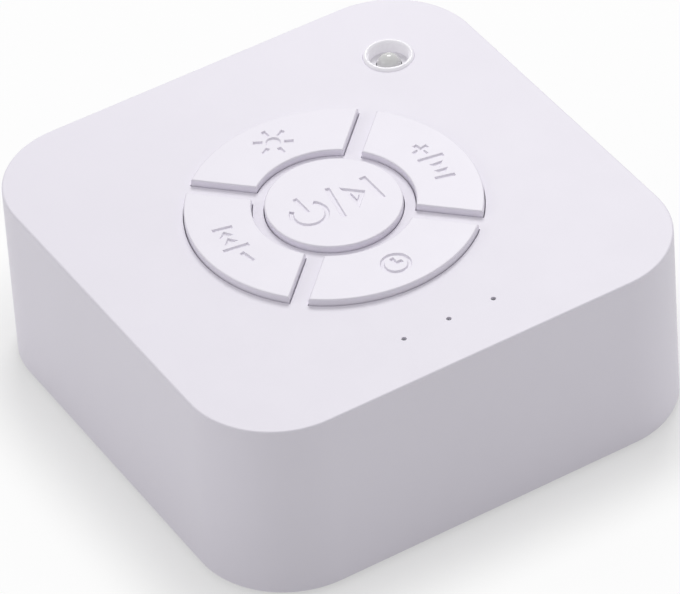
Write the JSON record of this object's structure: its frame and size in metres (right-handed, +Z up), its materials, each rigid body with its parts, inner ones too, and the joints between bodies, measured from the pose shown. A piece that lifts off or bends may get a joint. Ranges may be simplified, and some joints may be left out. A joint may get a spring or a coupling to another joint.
{
  "type": "white noise sound machine",
  "caption": "Rounded square sound machine with sprung keys on its top panel, a corner night light, timer dots, a rear charging socket and a speaker that faces down.",
  "frame": {"origin": "on the resting surface, under the middle of the case", "axes": "+Z up; -Y towards the side with the timer dots, +Y towards the charging socket; +X to the right when the timer dots are in front"},
  "size_m": [0.101, 0.101, 0.0407],
  "materials": {
    "shell_white": "fine satin",
    "key_white": "fine satin",
    "cover_white": "fine satin",
    "bezel_white": "polished, slightly translucent",
    "holder_grey": "matt",
    "lamp_white": "polished",
    "guide_clear": "polished",
    "foot_rubber": "matt",
    "screw_steel": "zinc plated",
    "board_green": "lacquered",
    "chip_black": "matt",
    "can_metal": "satin",
    "switch_black": "matt",
    "plunger_grey": "matt",
    "basket_steel": "painted",
    "magnet_ferrite": "ground",
    "yoke_steel": "zinc plated",
    "cone_paper": "matt paper",
    "surround_rubber": "matt",
    "spider_cloth": "varnished weave",
    "coil_copper": "lacquered wire",
    "terminal_board": "pressed board",
    "plug_white": "satin",
    "lead_insulation": "satin",
    "cell_wrap": "shrink film over metal",
    "foam_grey": "open foam",
    "socket_steel": "nickel plated",
    "tongue_black": "matt"
  },
  "bodies": {
    "case": {"top_shell": "shell_white", "bottom_cover": "cover_white", "power_switch": "switch_black", "light_switch": "switch_black", "next_switch": "switch_black", "timer_switch": "switch_black", "previous_switch": "switch_black", "main_board": "board_green", "controller_chip": "chip_black", "memory_chip": "chip_black", "amplifier_chip": "chip_black", "board_capacitors": "can_metal", "board_screws": "screw_steel", "housing_screws": "screw_steel", "rubber_feet": "foot_rubber", "speaker_gasket": "foam_grey", "speaker_basket": "basket_steel", "speaker_screws": "screw_steel", "speaker_top_plate": "yoke_steel", "speaker_magnet": "magnet_ferrite", "speaker_yoke": "yoke_steel", "speaker_surround": "surround_rubber", "speaker_spider": "spider_cloth", "speaker_terminals": "terminal_board", "speaker_plug": "plug_white", "speaker_leads": "lead_insulation", "battery_cell": "cell_wrap", "battery_foam": "foam_grey", "battery_plug": "plug_white", "battery_leads": "lead_insulation", "usb_socket": "socket_steel", "usb_tongue": "tongue_black", "night_light_bezel": "bezel_white", "night_light_holder": "holder_grey", "night_light_lamp": "lamp_white", "timer_lamps": "lamp_white", "timer_light_guide": "guide_clear"},
    "power_key": {"power_key": "key_white", "power_switch_plunger": "plunger_grey"},
    "light_key": {"light_key": "key_white", "light_switch_plunger": "plunger_grey"},
    "next_key": {"next_key": "key_white", "next_switch_plunger": "plunger_grey"},
    "timer_key": {"timer_key": "key_white", "timer_switch_plunger": "plunger_grey"},
    "previous_key": {"previous_key": "key_white", "previous_switch_plunger": "plunger_grey"},
    "speaker_diaphragm": {"speaker_cone": "cone_paper", "speaker_dust_cap": "cone_paper", "speaker_coil": "coil_copper"}
  },
  "joints": [
    {"name": "power_key_press", "type": "slide", "parent": "case", "child": "power_key", "axis": [0, 0, -1], "range_m": [0, 0.0005], "stiffness_N_per_m": 3000, "springref_m": -0.0002},
    {"name": "light_key_press", "type": "slide", "parent": "case", "child": "light_key", "axis": [0, 0, -1], "range_m": [0, 0.0005], "stiffness_N_per_m": 3000, "springref_m": -0.0002},
    {"name": "next_key_press", "type": "slide", "parent": "case", "child": "next_key", "axis": [0, 0, -1], "range_m": [0, 0.0005], "stiffness_N_per_m": 3000, "springref_m": -0.0002},
    {"name": "timer_key_press", "type": "slide", "parent": "case", "child": "timer_key", "axis": [0, 0, -1], "range_m": [0, 0.0005], "stiffness_N_per_m": 3000, "springref_m": -0.0002},
    {"name": "previous_key_press", "type": "slide", "parent": "case", "child": "previous_key", "axis": [0, 0, -1], "range_m": [0, 0.0005], "stiffness_N_per_m": 3000, "springref_m": -0.0002},
    {"name": "diaphragm_stroke", "type": "slide", "parent": "case", "child": "speaker_diaphragm", "axis": [0, 0, -1], "range_m": [-0.001, 0.001], "stiffness_N_per_m": 2000, "deforming": ["speaker_surround", "speaker_spider"]}
  ]
}
